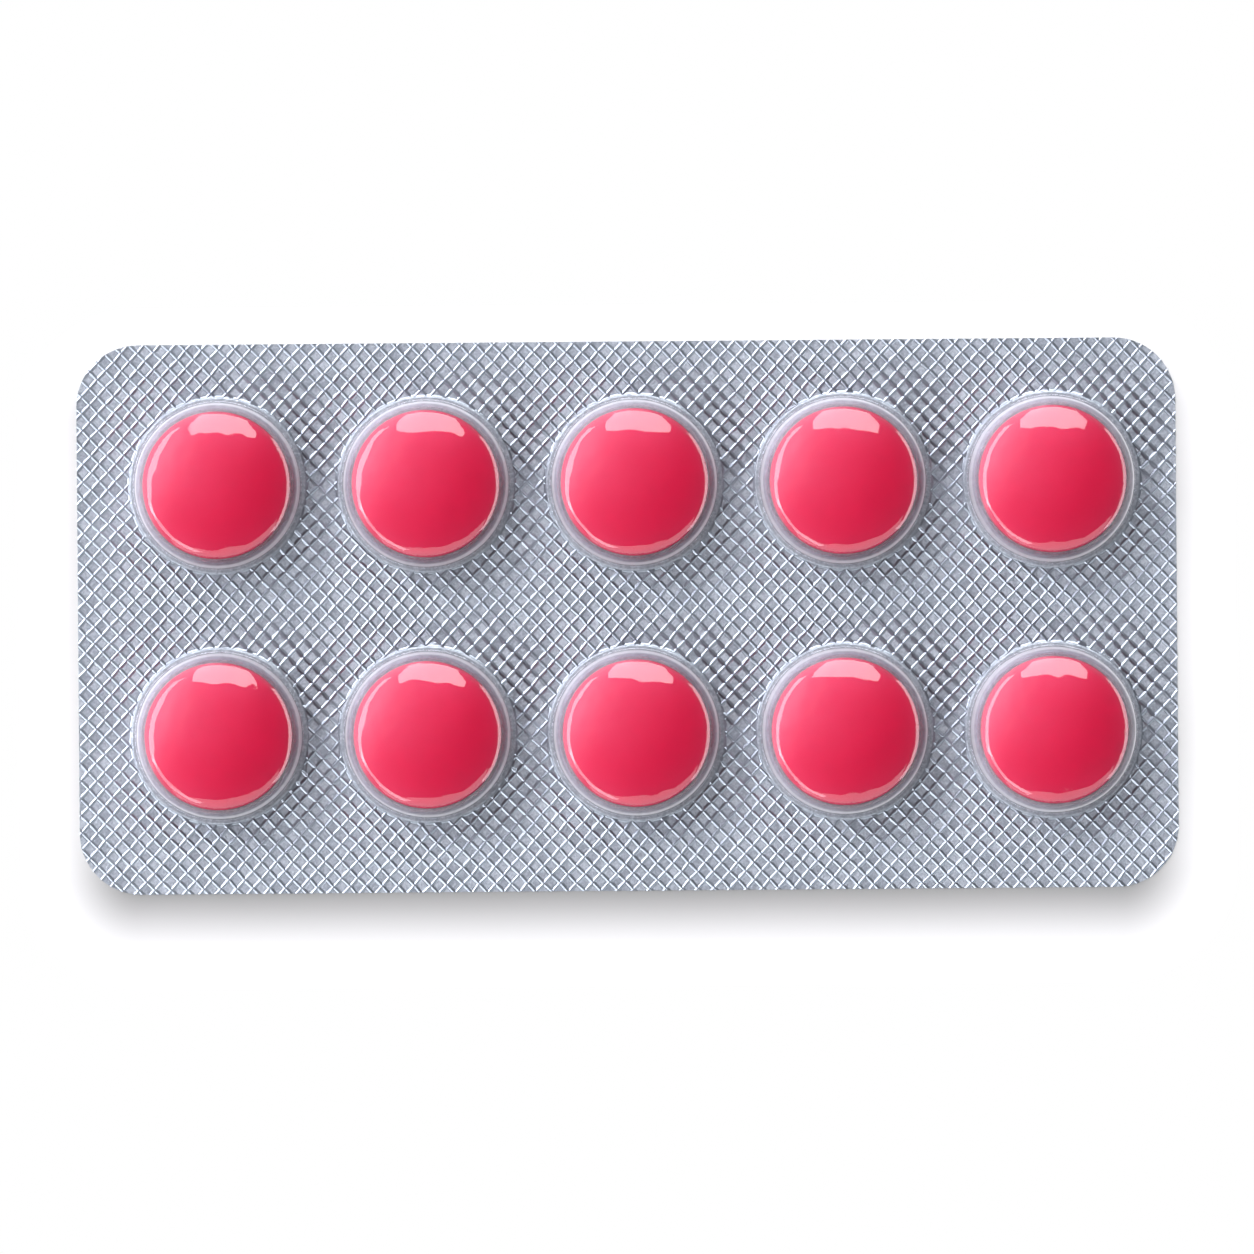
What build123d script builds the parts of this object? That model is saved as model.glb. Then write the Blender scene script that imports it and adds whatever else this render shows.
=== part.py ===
from build123d import *
from math import isclose, radians, tan
import os

# Pill blister pack: a clear thermoformed film with ten pockets, a round tablet in each
# pocket, and an aluminium foil sealed across the mouths of the pockets.
# Millimetres. The origin is the middle of the card on the underside of the foil, +X along
# the card, +Z from the foil to the tops of the pockets.

# Tablet: two shallow domes on a straight band
tabletDiameter = 11.0
tabletBandHeight = 2.6
tabletCrownHeight = 1.2
tabletEdgeRadius = 0.15

# Sheets
foilThickness = 0.03
filmThickness = 0.25
cardCornerRadius = 4.6

# Pocket: a drafted wall, a rounded shoulder and a gently domed top over the tablet
pocketWall = 0.2
pocketDraft = 3.0
pocketShoulderRadius = 1.4
pocketCrownRadius = 14.8
pocketFootRadius = 0.2

# Room around a tablet in its pocket
restGap = 0.05
sideClearance = 0.3
topClearance = 0.3

# Layout of the card: flat film between the pockets and outside them
columns = 5
rows = 2
webBetweenColumns = 2.76
webBetweenRows = 5.89
leftMargin = 4.09
rightMargin = 2.89
frontMargin = 5.38
backMargin = 4.13

# Worked out from the sizes above
tabletRadius = tabletDiameter / 2
tabletThickness = tabletBandHeight + 2 * tabletCrownHeight
tabletCrownRadius = (tabletRadius**2 + tabletCrownHeight**2) / (2 * tabletCrownHeight)
bandTopHeight = restGap + tabletCrownHeight + tabletBandHeight
cavityMouthRadius = tabletRadius + sideClearance + bandTopHeight * tan(radians(pocketDraft))
cavityDepth = restGap + tabletThickness + topClearance
pocketLipRadius = pocketFootRadius + (pocketWall + filmThickness) / 2
ringDiameter = 2 * (cavityMouthRadius + pocketWall + pocketFootRadius)
columnPitch = ringDiameter + webBetweenColumns
rowPitch = ringDiameter + webBetweenRows
cardLength = (columns - 1) * columnPitch + ringDiameter + leftMargin + rightMargin
cardWidth = (rows - 1) * rowPitch + ringDiameter + frontMargin + backMargin
gridCentre = Location(((leftMargin - rightMargin) / 2, (frontMargin - backMargin) / 2, 0))
flangeTop = foilThickness + filmThickness

# Pocket places, row by row from the back left corner
pocketPlaces = sorted(
    [gridCentre * place for place in GridLocations(columnPitch, rowPitch, columns, rows)],
    key=lambda place: (-round(place.position.Y, 3), place.position.X),
)


# The solid form of one pocket from the foil up, grown outwards by the given wall
def pocketForm(wall):
    mouthRadius = cavityMouthRadius + wall
    topHeight = foilThickness + cavityDepth + wall
    crownRadius = pocketCrownRadius + wall
    topRadius = mouthRadius - (topHeight - foilThickness) * tan(radians(pocketDraft))
    with BuildPart() as form:
        with BuildSketch(Plane.XZ) as section:
            with BuildLine():
                Polyline(
                    (0, foilThickness),
                    (mouthRadius, foilThickness),
                    (topRadius, topHeight),
                    (0, topHeight),
                    close=True,
                )
            make_face()
            with Locations((0, topHeight - crownRadius)):
                Circle(crownRadius, mode=Mode.INTERSECT)
            shoulder = section.vertices().sort_by(Axis.Y)[-2]
            fillet(shoulder, radius=pocketShoulderRadius + wall)
        revolve(axis=Axis.Z)
    return form.part


# Level circular edges at one height whose radius is near the given one
def pocketRims(part, height, radius):
    level = part.faces().filter_by(Plane.XY).edges().filter_by(GeomType.CIRCLE)
    rims = level.filter_by(lambda edge: isclose(edge.radius, radius, abs_tol=pocketWall / 2))
    return rims.filter_by(lambda edge: isclose(edge.center().Z, height, abs_tol=foilThickness / 2))


# Foil: one flat sheet under the whole card
with BuildPart() as liddingFoil:
    with BuildSketch():
        RectangleRounded(cardLength, cardWidth, cardCornerRadius)
    extrude(amount=foilThickness)

# Film: a flat flange with the pockets raised out of it as one skin
with BuildPart() as blisterFilm:
    with BuildSketch(Plane.XY.offset(foilThickness)):
        RectangleRounded(cardLength, cardWidth, cardCornerRadius)
    extrude(amount=filmThickness)
    with Locations(*pocketPlaces):
        add(pocketForm(pocketWall))
    outerFoot = cavityMouthRadius + pocketWall - filmThickness * tan(radians(pocketDraft))
    fillet(pocketRims(blisterFilm, flangeTop, outerFoot), radius=pocketFootRadius)
    with Locations(*pocketPlaces):
        add(pocketForm(0), mode=Mode.SUBTRACT)
    fillet(pocketRims(blisterFilm, foilThickness, cavityMouthRadius), radius=pocketLipRadius)

# Tablet: revolved once, then set in each pocket
tabletBase = foilThickness + restGap
tabletMiddle = tabletBase + tabletThickness / 2
with BuildPart() as tabletBlank:
    with BuildSketch(Plane.XZ) as tabletSection:
        with Locations((tabletRadius / 2, tabletMiddle)):
            Rectangle(tabletRadius, tabletThickness)
        with Locations((0, tabletBase + tabletCrownRadius)):
            Circle(tabletCrownRadius, mode=Mode.INTERSECT)
        with Locations((0, tabletBase + tabletThickness - tabletCrownRadius)):
            Circle(tabletCrownRadius, mode=Mode.INTERSECT)
        bandCorners = tabletSection.vertices().group_by(Axis.X)[-1]
        fillet(bandCorners, radius=tabletEdgeRadius)
    revolve(axis=Axis.Z)

os.makedirs("parts", exist_ok=True)

liddingFoil.part.label = "lidding_foil"
blisterFilm.part.label = "clear_blister_film"
export_step(liddingFoil.part, "parts/lidding_foil.step")
export_step(blisterFilm.part, "parts/clear_blister_film.step")

for number, place in enumerate(pocketPlaces, start=1):
    with BuildPart() as tablet:
        with Locations(place):
            add(tabletBlank.part)
    tablet.part.label = f"tablet_{number:02d}"
    export_step(tablet.part, f"parts/{tablet.part.label}.step")
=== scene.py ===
from math import atan2, ceil, cos, pi, radians, sin, sqrt, tan
import random

import bmesh
import bpy
from mathutils import Euler, Matrix, Vector, noise
from mathutils.geometry import delaunay_2d_cdt


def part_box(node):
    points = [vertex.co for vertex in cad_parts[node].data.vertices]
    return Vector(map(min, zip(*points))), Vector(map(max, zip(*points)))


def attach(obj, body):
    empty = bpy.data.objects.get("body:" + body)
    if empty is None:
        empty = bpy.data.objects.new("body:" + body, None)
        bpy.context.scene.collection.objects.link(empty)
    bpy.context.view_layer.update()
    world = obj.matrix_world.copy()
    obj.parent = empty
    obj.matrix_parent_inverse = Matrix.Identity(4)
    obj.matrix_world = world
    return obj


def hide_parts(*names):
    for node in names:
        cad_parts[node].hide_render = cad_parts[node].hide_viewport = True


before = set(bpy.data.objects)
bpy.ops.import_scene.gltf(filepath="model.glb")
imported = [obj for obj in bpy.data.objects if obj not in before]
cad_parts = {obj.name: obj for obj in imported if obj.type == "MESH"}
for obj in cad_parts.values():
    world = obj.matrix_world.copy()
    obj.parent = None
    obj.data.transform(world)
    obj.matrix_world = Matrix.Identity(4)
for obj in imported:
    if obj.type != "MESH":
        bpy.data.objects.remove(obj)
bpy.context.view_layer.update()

mm = 0.001
weld, fillWeld, cutWeld = 0.0005, 1e-6, 1e-5  # points closer than this, in mm, count as one
seed = 7
scene = bpy.context.scene
dice = random.Random(seed)
noise.seed_set(seed)

# Places and sizes that the frame holds
foilLow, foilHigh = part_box("lidding_foil")
_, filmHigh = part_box("clear_blister_film")
tabletNodes = sorted(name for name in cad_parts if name.startswith("tablet_"))


# One output socket of a shader tree, so that shader maths reads as plain expressions
class Signal:
    def __init__(self, wiring, socket):
        self.wiring = wiring
        self.socket = socket

    def maths(self, operation, first, second):
        return self.wiring.add("ShaderNodeMath", {"operation": operation}, {0: first, 1: second})

    def __add__(self, other):
        return self.maths("ADD", self, other)

    def __radd__(self, other):
        return self.maths("ADD", other, self)

    def __sub__(self, other):
        return self.maths("SUBTRACT", self, other)

    def __rsub__(self, other):
        return self.maths("SUBTRACT", other, self)

    def __mul__(self, other):
        return self.maths("MULTIPLY", self, other)

    def __rmul__(self, other):
        return self.maths("MULTIPLY", other, self)

    def __pow__(self, other):
        return self.maths("POWER", self, other)

    def parts(self):
        node = self.wiring.tree.nodes.new("ShaderNodeSeparateXYZ")
        self.wiring.tree.links.new(self.socket, node.inputs[0])
        return [Signal(self.wiring, output) for output in node.outputs]


# The node tree of one material, lamp or world
class Wiring:
    def __init__(self, owner):
        owner.use_nodes = True
        self.tree = owner.node_tree
        self.tree.nodes.clear()

    def add(self, kind, settings=None, inputs=None, output=0):
        node = self.tree.nodes.new(kind)
        for name, value in (settings or {}).items():
            setattr(node, name, value)
        for name, value in (inputs or {}).items():
            if isinstance(value, Signal):
                self.tree.links.new(value.socket, node.inputs[name])
            else:
                node.inputs[name].default_value = value
        return Signal(self, node.outputs[output]) if len(node.outputs) else None

    def objectPlace(self):
        return self.add("ShaderNodeTexCoord", output="Object")

    def size(self, value):
        return self.add("ShaderNodeMath", {"operation": "ABSOLUTE"}, {0: value})

    def most(self, first, second):
        return self.add("ShaderNodeMath", {"operation": "MAXIMUM"}, {0: first, 1: second})

    def least(self, first, second):
        return self.add("ShaderNodeMath", {"operation": "MINIMUM"}, {0: first, 1: second})

    def noise(self, place, scale, detail=2.0, roughness=0.5):
        return self.add("ShaderNodeTexNoise", {}, {"Vector": place, "Scale": scale, "Detail": detail,
                                                   "Roughness": roughness})

    def between(self, value, low, high):
        return self.add("ShaderNodeMapRange", {}, {"Value": value, "To Min": low, "To Max": high})

    def blend(self, factor, first, second):
        return self.add("ShaderNodeMix", {"data_type": "RGBA"}, {0: factor, 6: first, 7: second}, 2)


def newObject(name, bm):
    mesh = bpy.data.meshes.new(name)
    bm.to_mesh(mesh)
    bm.free()
    piece = bpy.data.objects.new(name, mesh)
    scene.collection.objects.link(piece)
    return piece


def finish(piece, material, slot, *nodes):
    piece.data.materials.append(material)
    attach(piece, "root")
    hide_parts(*nodes)


def arc(centre, radius, first, last, steps):
    angles = [first + (last - first) * step / steps for step in range(steps + 1)]
    return [(centre[0] + radius * cos(angle), centre[1] + radius * sin(angle)) for angle in angles]


# A chain of edges in the XZ plane through points of (radius, height)
def chain(bm, points):
    verts = [bm.verts.new((radius, 0, height)) for radius, height in points]
    edges = [bm.edges.new(pair) for pair in zip(verts, verts[1:])]
    return verts + edges


def spinAround(bm, geometry, steps):
    bmesh.ops.spin(bm, geom=geometry, cent=(0, 0, 0), axis=(0, 0, 1), angle=2 * pi, steps=steps,
                   use_merge=True)


# Colours and finishes
print("materials")

tabletFinish = {
    "red": (0.875, 0.0055, 0.064, 1), "deepRed": (0.82, 0.004, 0.055, 1),
    "patchScale": 260, "roughness": 0.38, "shine": (0.8, 0.62, 1.0, 1), "shineLevel": 0.35,
    "grainScale": 2200, "grain": 0.04, "grainDepth": 0.1,
}


def tabletMaterial():
    material = bpy.data.materials.new("tabletCoating")
    wiring = Wiring(material)
    place = wiring.objectPlace()
    patches = wiring.noise(place, tabletFinish["patchScale"], 3)
    grain = wiring.noise(place, tabletFinish["grainScale"], 2)
    bump = wiring.add("ShaderNodeBump", {}, {
        "Strength": tabletFinish["grain"], "Distance": tabletFinish["grainDepth"] * mm, "Height": grain})
    coat = wiring.add("ShaderNodeBsdfPrincipled", {}, {
        "Base Color": wiring.blend(patches, tabletFinish["red"], tabletFinish["deepRed"]),
        "Roughness": tabletFinish["roughness"], "Specular IOR Level": tabletFinish["shineLevel"],
        "Specular Tint": tabletFinish["shine"], "Normal": bump,
    })
    wiring.add("ShaderNodeOutputMaterial", {}, {"Surface": coat})
    return material


filmFinish = {"tint": (0.993, 0.993, 0.996, 1), "roughness": 0.03, "wallBlur": 0.9, "headOn": 0.08,
              "haze": (0.54, 0.52, 0.59, 1), "hazeThick": 1.2, "hazeFall": 2.0, "speckScale": 2600,
              "hazeFrom": 0.28, "hazeFull": 0.6, "glancing": 5, "blurFall": 2, "speckShare": 0.6,
              "speckLeast": 0.7, "speckStretch": (1, 1, 0.06)}


def filmMaterial():
    material = bpy.data.materials.new("clearFilm")
    wiring = Wiring(material)
    facing = wiring.add("ShaderNodeLayerWeight", {}, {"Blend": 0.5}, "Facing")
    # the skin's two sides mirror as one, where the light enters
    leaving = wiring.add("ShaderNodeNewGeometry", output="Backfacing")
    glancing = (1 - filmFinish["headOn"]) * facing ** filmFinish["glancing"]
    mirrored = (filmFinish["headOn"] + glancing) * (1 - leaving)
    clear = wiring.add("ShaderNodeBsdfTransparent", {}, {"Color": filmFinish["tint"]})
    gloss = wiring.add("ShaderNodeBsdfGlossy", {}, {
        "Roughness": filmFinish["roughness"] + filmFinish["wallBlur"] * facing ** filmFinish["blurFall"]})
    # seen along a pocket's wall the plastic is thick, and its slight milkiness shows
    place = wiring.objectPlace()
    acrossCard = wiring.add("ShaderNodeVectorMath", {"operation": "MULTIPLY"}, {
        0: place, 1: filmFinish["speckStretch"]})
    speck = wiring.noise(acrossCard, filmFinish["speckScale"], 0)
    raised = wiring.add("ShaderNodeMapRange", {}, {
        "Value": place.parts()[2],
        "From Min": filmFinish["hazeFrom"] * mm, "From Max": filmFinish["hazeFull"] * mm})
    uneven = speck * filmFinish["speckShare"] + filmFinish["speckLeast"]
    cloud = filmFinish["hazeThick"] * facing ** filmFinish["hazeFall"] * uneven * raised
    milk = wiring.add("ShaderNodeBsdfDiffuse", {}, {"Color": filmFinish["haze"]})
    body = wiring.add("ShaderNodeMixShader", {}, {0: cloud, 1: clear, 2: milk})
    skin = wiring.add("ShaderNodeMixShader", {}, {0: mirrored, 1: body, 2: gloss})
    wiring.add("ShaderNodeOutputMaterial", {}, {"Surface": skin})
    return material


foilFinish = {
    "light": (0.61, 0.655, 0.69, 1), "dull": (0.38, 0.42, 0.462, 1),
    "patchScale": 4600, "patchRoughness": 0.6, "fogScale": 260, "fogShare": 0.12,
    "metal": 0.98, "cellMetal": 0.5, "ridge": 0.275, "smooth": 0.3, "rough": 0.55,
    "wrinkle": 1.0, "wrinkleDepth": 0.035, "cellShare": 0.7, "mottleFrom": 0.43, "mottleTo": 0.75,
}


def foilMaterial():
    material = bpy.data.materials.new("liddingFoil")
    wiring = Wiring(material)
    place = wiring.objectPlace()
    pressed = wiring.add("ShaderNodeAttribute", {"attribute_name": "pressed"}, output="Fac")
    patches = wiring.noise(place, foilFinish["patchScale"], 2, foilFinish["patchRoughness"])
    fog = wiring.noise(place, foilFinish["fogScale"], 1)
    bump = wiring.add("ShaderNodeBump", {}, {
        "Strength": foilFinish["wrinkle"], "Distance": foilFinish["wrinkleDepth"] * mm,
        "Height": patches * pressed})
    mottle = wiring.add("ShaderNodeMapRange", {}, {
        "Value": patches + (fog - 0.5) * foilFinish["fogShare"]
        + (knurl["press"][1] - pressed) * foilFinish["cellShare"],
        "From Min": foilFinish["mottleFrom"], "From Max": foilFinish["mottleTo"]})
    metal = wiring.add("ShaderNodeBsdfPrincipled", {}, {
        "Base Color": wiring.blend(mottle, foilFinish["light"], foilFinish["dull"]),
        "Metallic": foilFinish["metal"] + pressed * (foilFinish["cellMetal"] - foilFinish["metal"]),
        "Normal": bump,
        "Roughness": foilFinish["ridge"] + pressed * (wiring.between(
            patches, foilFinish["smooth"], foilFinish["rough"]) - foilFinish["ridge"]),
    })
    wiring.add("ShaderNodeOutputMaterial", {}, {"Surface": metal})
    return material


# Tablets: two shallow domes on a straight band with softened corners, in mm round the tablet's middle
print("tablets")

tabletShape = {"crownHeight": 1.2, "cornerRadius": 0.18, "steps": 96, "crownSteps": 12, "cornerSteps": 4}


def tabletProfile(radius, thickness):
    crown, corner = tabletShape["crownHeight"], tabletShape["cornerRadius"]
    crownRadius = (radius**2 + crown**2) / (2 * crown)
    middle = thickness / 2 - crownRadius
    # the corner's arc touches the band and the crown from inside
    cornerAcross = radius - corner
    cornerUp = middle + sqrt((crownRadius - corner)**2 - cornerAcross**2)
    slope = atan2(cornerUp - middle, cornerAcross)
    upper = arc((cornerAcross, cornerUp), corner, 0, slope, tabletShape["cornerSteps"])
    upper += arc((0, middle), crownRadius, slope, pi / 2, tabletShape["crownSteps"])[1:]
    lower = [(across, -up) for across, up in reversed(upper)]
    return lower + upper


def makeTablet(node, material):
    low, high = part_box(node)
    middle = (low + high) / 2
    bm = bmesh.new()
    profile = tabletProfile((high.x - low.x) / 2 / mm, (high.z - low.z) / mm)
    spinAround(bm, chain(bm, profile), tabletShape["steps"])
    bmesh.ops.remove_doubles(bm, verts=bm.verts, dist=weld)
    bmesh.ops.recalc_face_normals(bm, faces=bm.faces)
    for face in bm.faces:
        face.smooth = True
    bmesh.ops.transform(bm, matrix=Matrix.Translation(middle) @ Matrix.Scale(mm, 4), verts=bm.verts)
    piece = newObject("coated_" + node, bm)
    finish(piece, material, "tablet_coating", node)
    return middle


redCoating = tabletMaterial()
pocketCentres = [makeTablet(node, redCoating) for node in tabletNodes]

# Card outline, shared by the film and the foil
cardShape = {"cornerRadius": 4.6, "cornerSteps": 14, "cornerShare": 0.6}


# Middles of the four corner arcs with the angle at which each starts, in mm
def cardCorners():
    inset = cardShape["cornerRadius"]
    right, back = foilHigh.x / mm - inset, foilHigh.y / mm - inset
    left, front = foilLow.x / mm + inset, foilLow.y / mm + inset
    return [((right, back), 0), ((left, back), pi / 2), ((left, front), pi),
            ((right, front), 3 * pi / 2)]


# Film: one skin with the pockets raised out of it, in mm
print("film")

filmShape = {"flangeTop": 0.28, "mouthRadius": 6.2, "mouthLevel": 0.03, "draft": radians(3),
             "footRadius": 0.2, "shoulderRadius": 1.6, "crownRadius": 15.0, "flatRing": 6.5,
             "skin": 0.17, "steps": 96, "footSteps": 6, "shoulderSteps": 18, "crownSteps": 20,
             "ripple": 0.02, "rippleScale": 1.25, "rippleFrom": 1, "rippleRise": 3,
             "ringSlack": 0.01, "flatSlack": 0.001}


# Outer side of a pocket from the flange to the top, as (radius, height)
def pocketProfile(top):
    shape = filmShape
    draft, foot, shoulder, crown = (shape[name] for name in ("draft", "footRadius", "shoulderRadius",
                                                            "crownRadius"))
    footUp = shape["flangeTop"] + foot
    footAcross = shape["mouthRadius"] + (foot - (footUp - shape["mouthLevel"]) * sin(draft)) / cos(draft)
    points = [(shape["flatRing"], shape["flangeTop"])]
    points += arc((footAcross, footUp), foot, 1.5 * pi, pi + draft, shape["footSteps"])
    # middle of the shoulder's arc: on a line inside the wall, at its distance from the crown's middle
    startAcross = shape["mouthRadius"] - shoulder * cos(draft)
    startUp = shape["mouthLevel"] - shoulder * sin(draft) - (top - crown)
    along = startUp * cos(draft) - startAcross * sin(draft)
    reach = (crown - shoulder)**2 - startAcross**2 - startUp**2 + along**2
    climb = sqrt(reach) - along
    middle = (startAcross - climb * sin(draft), startUp + climb * cos(draft) + top - crown)
    meeting = atan2(middle[1] - (top - crown), middle[0])
    points += arc(middle, shoulder, draft, meeting, shape["shoulderSteps"])
    points += arc((0, top - crown), crown, meeting, pi / 2, shape["crownSteps"])[1:]
    return points


def makeFilm():
    bm = bmesh.new()
    profile = pocketProfile(filmHigh.z / mm)
    spinAround(bm, chain(bm, profile), filmShape["steps"])
    bmesh.ops.remove_doubles(bm, verts=bm.verts, dist=weld)
    pocket = bm.verts[:] + bm.edges[:] + bm.faces[:]
    for centre in pocketCentres[1:]:
        copies = bmesh.ops.duplicate(bm, geom=pocket)["geom"]
        verts = [item for item in copies if isinstance(item, bmesh.types.BMVert)]
        bmesh.ops.translate(bm, verts=verts, vec=(centre - pocketCentres[0]).xy.to_3d() / mm)
    bmesh.ops.translate(bm, verts=bm.verts, vec=pocketCentres[0].xy.to_3d() / mm)
    # the flat flange is filled in between the pockets and the card's outline
    rims = [edge for edge in bm.edges if edge.is_boundary]
    points = [vert.co.xy for edge in rims for vert in edge.verts]
    for (across, along), start in cardCorners():
        points += [Vector(point) for point in arc((across, along), cardShape["cornerRadius"], start,
                                                  start + pi / 2, cardShape["cornerSteps"])]
    pairs = [(spot, spot + 1) for spot in range(0, 2 * len(rims), 2)]
    places, _, fills, *_ = delaunay_2d_cdt(points, pairs, [], 0, fillWeld, False)
    verts = [bm.verts.new((place.x, place.y, filmShape["flangeTop"])) for place in places]
    for fill in fills:
        middle = sum((places[spot] for spot in fill), Vector((0, 0))) / len(fill)
        clear = min((middle - centre.xy / mm).length for centre in pocketCentres)
        if clear > filmShape["flatRing"] - filmShape["ringSlack"]:
            bm.faces.new([verts[spot] for spot in fill])
    bmesh.ops.remove_doubles(bm, verts=bm.verts, dist=weld)
    bmesh.ops.delete(bm, geom=[vert for vert in bm.verts if not vert.link_faces], context="VERTS")
    bmesh.ops.recalc_face_normals(bm, faces=bm.faces)
    if sum(face.normal.z * face.calc_area() for face in bm.faces) < 0:
        bmesh.ops.reverse_faces(bm, faces=bm.faces)
    flat = filmShape["flangeTop"] + filmShape["flatSlack"]
    for face in bm.faces:
        face.smooth = max(vert.co.z for vert in face.verts) > flat
    # formed film is never quite even, which shows in the edges of its reflections
    for vert in bm.verts:
        lift = min(1, max(0, (vert.co.z - filmShape["rippleFrom"]) / filmShape["rippleRise"]))
        sway = noise.noise(vert.co * filmShape["rippleScale"]) * 0.5 - 0.5  # never outwards
        vert.co += vert.normal * sway * lift * filmShape["ripple"]
    bmesh.ops.scale(bm, vec=(mm, mm, mm), verts=bm.verts)
    piece = newObject("blister_film", bm)
    shell = piece.modifiers.new("skin", "SOLIDIFY")
    shell.thickness, shell.offset, shell.use_even_offset = filmShape["skin"] * mm, -1, True
    finish(piece, filmMaterial(), "clear_film", "clear_blister_film")


makeFilm()

# Foil: a sheet knurled by crossing ridges everywhere but under the pockets, in mm
print("foil")

knurl = {
    "pitch": 0.877,
    "ridgeAngles": (radians(-42.67), radians(44.03)),
    "sealRadius": 6.6, "circleSteps": 72, "openInside": 1.4,
    "wander": 0.14, "wanderScale": 0.12, "jitter": 0.035,
    "steps": ((0.025, -0.003), (0.115, -0.05), (0.035, -0.004)), "slide": -0.012,
    "reliefs": ((0.25, 1.0, 1.0), (0.12, 0.25, 0.55)),
    "mouthRings": ((6.6, 0.076), (6.48, 0.11), (6.3, 0.108), (4.0, 0.04)),
    "mouthGrain": 0.86, "ridgeTop": 0.1, "sheet": 0.03, "tilt": 0.035, "press": (0.75, 1.0),
    "beyond": 1.5, "lineInside": 0.02, "mouthInside": 1,
}


# The knurl seen from above: the lattice of cell sides, a little uneven, and the circles of the pockets
def knurlDrawing():
    one, two = (Vector((cos(angle), sin(angle))) for angle in knurl["ridgeAngles"])
    turn = Matrix((one, two)).inverted() * knurl["pitch"]
    halfLength, halfWidth = (size / mm + knurl["beyond"] for size in (foilHigh.x, foilHigh.y))
    reach = ceil((halfLength + halfWidth) / knurl["pitch"])
    places, corners, sides = {}, [], []
    for i in range(-reach, reach + 1):
        for j in range(-reach, reach + 1):
            spot = turn @ Vector((i, j))
            clear = min((spot - centre.xy / mm).length for centre in pocketCentres)
            if (abs(spot.x) > halfLength or abs(spot.y) > halfWidth
                    or clear < knurl["sealRadius"] - knurl["openInside"]):
                continue
            drift = noise.noise_vector(spot.to_3d() * knurl["wanderScale"]) * knurl["wander"]
            spot += drift.xy + Vector((dice.uniform(-1, 1), dice.uniform(-1, 1))) * knurl["jitter"]
            places[i, j] = len(corners)
            corners.append(spot)
    for i, j in places:
        sides += [(places[i, j], places[step]) for step in ((i + 1, j), (i, j + 1)) if step in places]
    for centre in pocketCentres:
        first = len(corners)
        ring = arc(centre.xy / mm, knurl["sealRadius"], 0, 2 * pi, knurl["circleSteps"])[:-1]
        corners += [Vector(point) for point in ring]
        sides += [(first + spot, first + (spot + 1) % len(ring)) for spot in range(len(ring))]
    return corners, sides


def makeFoil():
    corners, sides = knurlDrawing()
    places, lines, cells, _, sources, _ = delaunay_2d_cdt(corners, sides, [], 0, fillWeld, True)
    bm = bmesh.new()
    mark = bm.faces.layers.float.new("pressed")
    verts = [bm.verts.new((place.x, place.y, knurl["ridgeTop"])) for place in places]
    for cell in cells:
        bm.faces.new([verts[spot] for spot in cell])
    bmesh.ops.recalc_face_normals(bm, faces=bm.faces)
    if bm.faces[:][0].normal.z < 0:
        bmesh.ops.reverse_faces(bm, faces=bm.faces)

    def inPocket(place, margin=0.0):
        clear = min((place.xy - centre.xy / mm).length for centre in pocketCentres)
        return clear < knurl["sealRadius"] - margin

    # outside the lattice the triangles are long, and inside a pocket nothing is left of its lines
    outer = [face for face in bm.faces
             if max(edge.calc_length() for edge in face.edges) > 2 * knurl["pitch"]
             and not inPocket(face.calc_center_median())]
    # (a set has no order of its own, so its edges are sorted by number before they are dissolved)
    extra = {bm.edges.get((verts[one], verts[two])) for (one, two), source in zip(lines, sources)
             if not source}
    extra |= {edge for edge in bm.edges
              if inPocket((edge.verts[0].co + edge.verts[1].co) / 2, knurl["lineInside"])}
    extra -= {edge for face in outer for edge in face.edges}
    bmesh.ops.delete(bm, geom=outer, context="FACES")
    bm.edges.index_update()
    bmesh.ops.dissolve_edges(bm, edges=sorted(extra, key=lambda edge: edge.index), use_verts=False)
    bmesh.ops.delete(bm, geom=[vert for vert in bm.verts if not vert.link_faces], context="VERTS")
    mouths = [face for face in bm.faces if inPocket(face.calc_center_median(), knurl["mouthInside"])]
    cells = {face: 2 * face.calc_area() / face.calc_perimeter() for face in bm.faces
             if face not in mouths}
    for face in mouths:
        sinkMouth(bm, face)
    # cells that a pocket's circle has cut down get a narrower and shallower relief
    for leastRoom, mostRoom, share in knurl["reliefs"]:
        pressed = [face for face, room in cells.items() if leastRoom < room < mostRoom]
        for width, depth in knurl["steps"]:
            bmesh.ops.inset_individual(bm, faces=pressed, thickness=width * share, depth=depth * share,
                                       use_even_offset=True)
        for face in pressed:
            face[mark] = dice.uniform(*knurl["press"])
            lean = Vector((dice.uniform(-1, 1), dice.uniform(-1, 1))) * knurl["tilt"] * share
            middle = face.calc_center_median()
            for vert in face.verts:
                vert.co.x += knurl["slide"] * share
                vert.co.z += (vert.co - middle).xy.dot(lean)
    print("  faces", len(bm.faces))
    trimToCard(bm)
    # no cell dips below the face that the pack lies on
    for vert in bm.verts:
        vert.co.z = max(vert.co.z, knurl["sheet"])
    for face in bm.faces:
        face.smooth = False
    bmesh.ops.scale(bm, vec=(mm, mm, mm), verts=bm.verts)
    piece = newObject("knurled_foil", bm)
    sheet = piece.modifiers.new("sheet", "SOLIDIFY")
    sheet.thickness, sheet.offset = knurl["sheet"] * mm, -1
    finish(piece, foilMaterial(), "lidding_foil", "lidding_foil")


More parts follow.
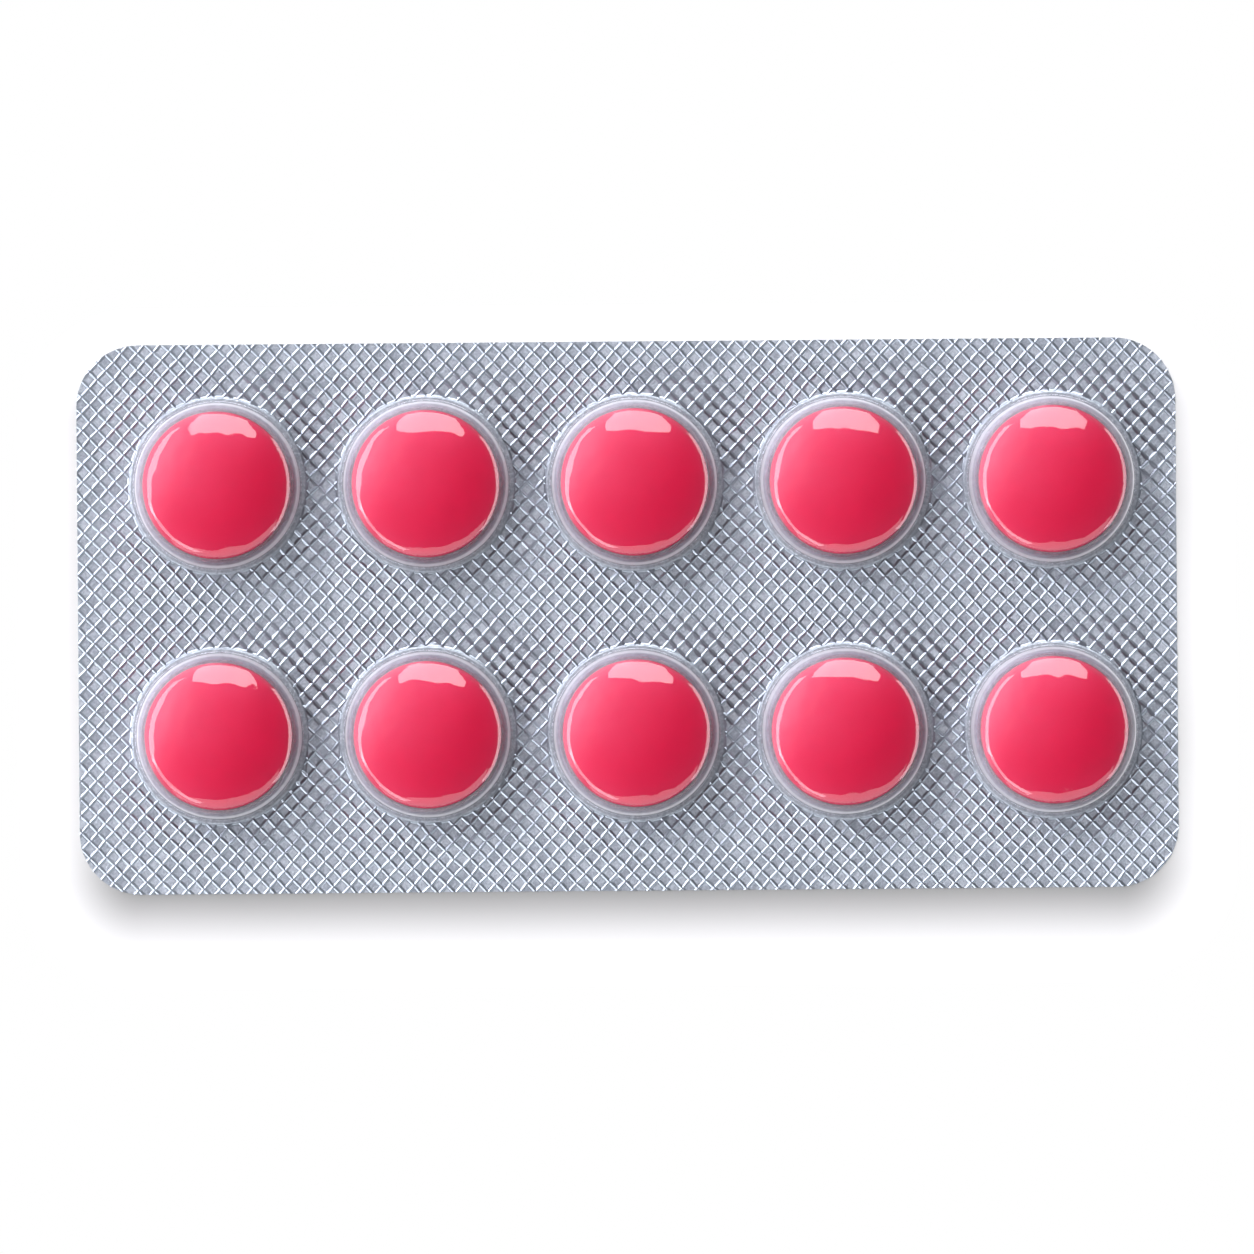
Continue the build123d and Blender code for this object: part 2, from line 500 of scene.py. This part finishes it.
# Turns the flat face of one pocket into the slope round the seal and the floor under the tablet
def sinkMouth(bm, face):
    centre = min(pocketCentres,
                 key=lambda place: (face.calc_center_median().xy - place.xy / mm).length)
    middle = centre.xy.to_3d() / mm
    edges = face.edges[:]
    bmesh.ops.delete(bm, geom=[face], context="FACES_ONLY")
    for vert in {vert for edge in edges for vert in edge.verts}:
        vert.co.z = knurl["mouthRings"][0][1]
    for (before, _), (radius, height) in zip(knurl["mouthRings"], knurl["mouthRings"][1:]):
        grown = bmesh.ops.extrude_edge_only(bm, edges=edges)["geom"]
        edges = [item for item in grown if isinstance(item, bmesh.types.BMEdge)]
        for vert in {vert for edge in edges for vert in edge.verts}:
            vert.co = middle + (vert.co - middle) * radius / before
            vert.co.z = height
    bmesh.ops.edgeloop_fill(bm, edges=edges)
    mark = bm.faces.layers.float["pressed"]
    for face in bm.faces:
        if (face.calc_center_median().xy - middle.xy).length < knurl["sealRadius"]:
            face[mark] = knurl["mouthGrain"]


# Cuts a flat mesh to the card's outline, one straight cut for each side and each step of a corner
def trimToCard(bm):
    def cut(geometry, place, away):
        return bmesh.ops.bisect_plane(bm, geom=geometry, plane_co=place, plane_no=away, dist=cutWeld,
                                      clear_outer=True)["geom"]

    for place, away in (((foilHigh.x / mm, 0, 0), (1, 0, 0)), ((foilLow.x / mm, 0, 0), (-1, 0, 0)),
                        ((0, foilHigh.y / mm, 0), (0, 1, 0)), ((0, foilLow.y / mm, 0), (0, -1, 0))):
        cut(bm.verts[:] + bm.edges[:] + bm.faces[:], place, away)
    radius, steps = cardShape["cornerRadius"], cardShape["cornerSteps"]
    near = radius * cardShape["cornerShare"]
    for (across, along), start in cardCorners():
        out = Vector((cos(start + pi / 4), sin(start + pi / 4), 0))
        faces = [face for face in bm.faces
                 if (face.calc_center_median() - Vector((across, along, 0))).dot(out) > near]
        geometry = faces + list({edge for face in faces for edge in face.edges})
        geometry += list({vert for face in faces for vert in face.verts})
        for step in range(steps):
            angle = start + (step + 0.5) * pi / 2 / steps
            away = Vector((cos(angle), sin(angle), 0))
            place = Vector((across, along, 0)) + away * radius * cos(pi / 4 / steps)
            geometry = cut(geometry, place, away)


makeFoil()

# Floor, lamps and camera
print("studio")

studio = {
    "floorSize": 8.0, "floorColour": (0.66, 0.66, 0.63, 1), "floorGlow": 0.38, "distance": 2.0,
    "skyDark": 0.08, "skySlope": 0.25, "skyReach": 0.35, "skyGain": 13.0, "skyPower": 3.7, "skyMost": 2.0,
    "skySide": (cos(radians(150)), sin(radians(150)), 0),
    "skyTint": (0.9, 0.86, 1.0, 1), "lampTint": (0.94, 0.96, 1.0), "white": (1, 1, 1, 1),
}

floorShade = {"halfLength": 36.5, "halfWidth": 16.5, "forward": 2.2, "reach": 7.4, "white": 9.0,
              "depth": 0.74, "colour": (0.0, 0.0, 0.0, 1)}


def makeFloor():
    bm = bmesh.new()
    bmesh.ops.create_grid(bm, x_segments=1, y_segments=1, size=studio["floorSize"] / 2)
    floor = newObject("floor", bm)
    material = bpy.data.materials.new("paper")
    material.cycles.emission_sampling = "NONE"
    wiring = Wiring(material)
    split = wiring.objectPlace().parts()
    # soft shade drawn round the card, widest along its front edge
    shade = floorShade
    across = wiring.most(wiring.size(split[0]) - shade["halfLength"] * mm, 0)
    along = wiring.most(wiring.size(split[1] + shade["forward"] * mm) - shade["halfWidth"] * mm, 0)
    away = (across * across + along * along) ** 0.5
    dark = wiring.add("ShaderNodeMapRange", {"interpolation_type": "SMOOTHSTEP"}, {
        "Value": away, "From Min": 0.0, "From Max": shade["reach"] * mm,
        "To Min": shade["depth"], "To Max": 0.0})
    path = wiring.add("ShaderNodeLightPath", output="Is Camera Ray")
    glossy = wiring.add("ShaderNodeLightPath", output="Is Glossy Ray")
    matte = wiring.add("ShaderNodeBsdfDiffuse", {}, {
        "Color": wiring.blend(dark, studio["floorColour"], shade["colour"])})
    glow = wiring.add("ShaderNodeEmission", {}, {
        "Strength": (path + glossy) * (1 - dark) * studio["floorGlow"]})
    both = wiring.add("ShaderNodeAddShader", {}, {0: matte, 1: glow})
    # clear of the card and its shade the paper is plain white
    clear = wiring.add("ShaderNodeMapRange", {}, {
        "Value": away, "From Min": shade["reach"] * mm, "From Max": shade["white"] * mm})
    white = wiring.add("ShaderNodeEmission", {}, {"Strength": 1.0})
    paper = wiring.add("ShaderNodeMixShader", {}, {0: clear * path, 1: both, 2: white})
    wiring.add("ShaderNodeOutputMaterial", {}, {"Surface": paper})
    floor.data.materials.append(material)


# A flat lamp seen from the card at an azimuth from +X and a tilt from straight up, with its
# width across and its height along the tilt as angles. It lights only matte or only glossy
# surfaces where that is named.
def addLamp(name, azimuth, tilt, width, height, radiance, only=""):
    light = bpy.data.lights.new(name, "AREA")
    light.shape = "RECTANGLE"
    light.size = 2 * studio["distance"] * tan(radians(width / 2))
    light.size_y = 2 * studio["distance"] * tan(radians(height / 2))
    light.energy = radiance * pi * light.size * light.size_y
    light.color = studio["lampTint"]
    lamp = bpy.data.objects.new(name, light)
    turn = Euler((radians(tilt), 0, radians(azimuth + 90)))
    lamp.rotation_euler = turn
    lamp.location = turn.to_matrix() @ Vector((0, 0, studio["distance"]))
    lamp.visible_diffuse, lamp.visible_glossy = only != "glossy", only != "matte"
    scene.collection.objects.link(lamp)


makeFloor()
addLamp("window", 86, 49, 38, 37, 5.4, "glossy")
addLamp("leftKey", 158, 28, 40, 40, 3.4, "matte")
addLamp("topLight", 130, 10, 50, 50, 1.45, "matte")
addLamp("leftWindow", 165, 47, 60, 17, 5.0, "glossy")
addLamp("leftLow", 224, 49, 44, 14, 3.6, "glossy")
addLamp("rightStrip", 0, 72, 80, 20, 4.5, "glossy")
addLamp("frontPanel", 276, 54, 84, 34, 1.7, "glossy")

world = bpy.data.worlds.new("studio")
scene.world = world
wiring = Wiring(world)
seen = wiring.add("ShaderNodeLightPath", output="Is Camera Ray")
# the room is dark but for a broad glow low in the back left
side = wiring.add("ShaderNodeVectorMath", {"operation": "DOT_PRODUCT"}, {
    0: wiring.add("ShaderNodeTexCoord", output="Generated"), 1: studio["skySide"]}, "Value")
glow = wiring.most(side, 0) ** studio["skyPower"] * studio["skyGain"] + studio["skyDark"]
slope = wiring.most(side + studio["skyReach"], 0) * studio["skySlope"]
glow = wiring.least(glow + slope, studio["skyMost"])
sky = wiring.add("ShaderNodeBackground", {}, {
    "Color": wiring.blend(seen, studio["skyTint"], studio["white"]),
    "Strength": seen * (1 - glow) + glow})
wiring.add("ShaderNodeOutputWorld", {}, {"Surface": sky})

view = {"width": 93.6 * mm, "height": 1.2, "aim": (-0.045 * mm, -0.82 * mm), "roll": radians(-0.47),
        "sensor": 36}
camera = bpy.data.objects.new("camera", bpy.data.cameras.new("camera"))
camera.data.sensor_width = view["sensor"]
camera.data.lens = camera.data.sensor_width * view["height"] / view["width"]
camera.location = (*view["aim"], view["height"] + filmShape["flangeTop"] * mm)
camera.rotation_euler = (0, 0, view["roll"])
scene.collection.objects.link(camera)
scene.camera = camera
scene.view_settings.view_transform = "Standard"
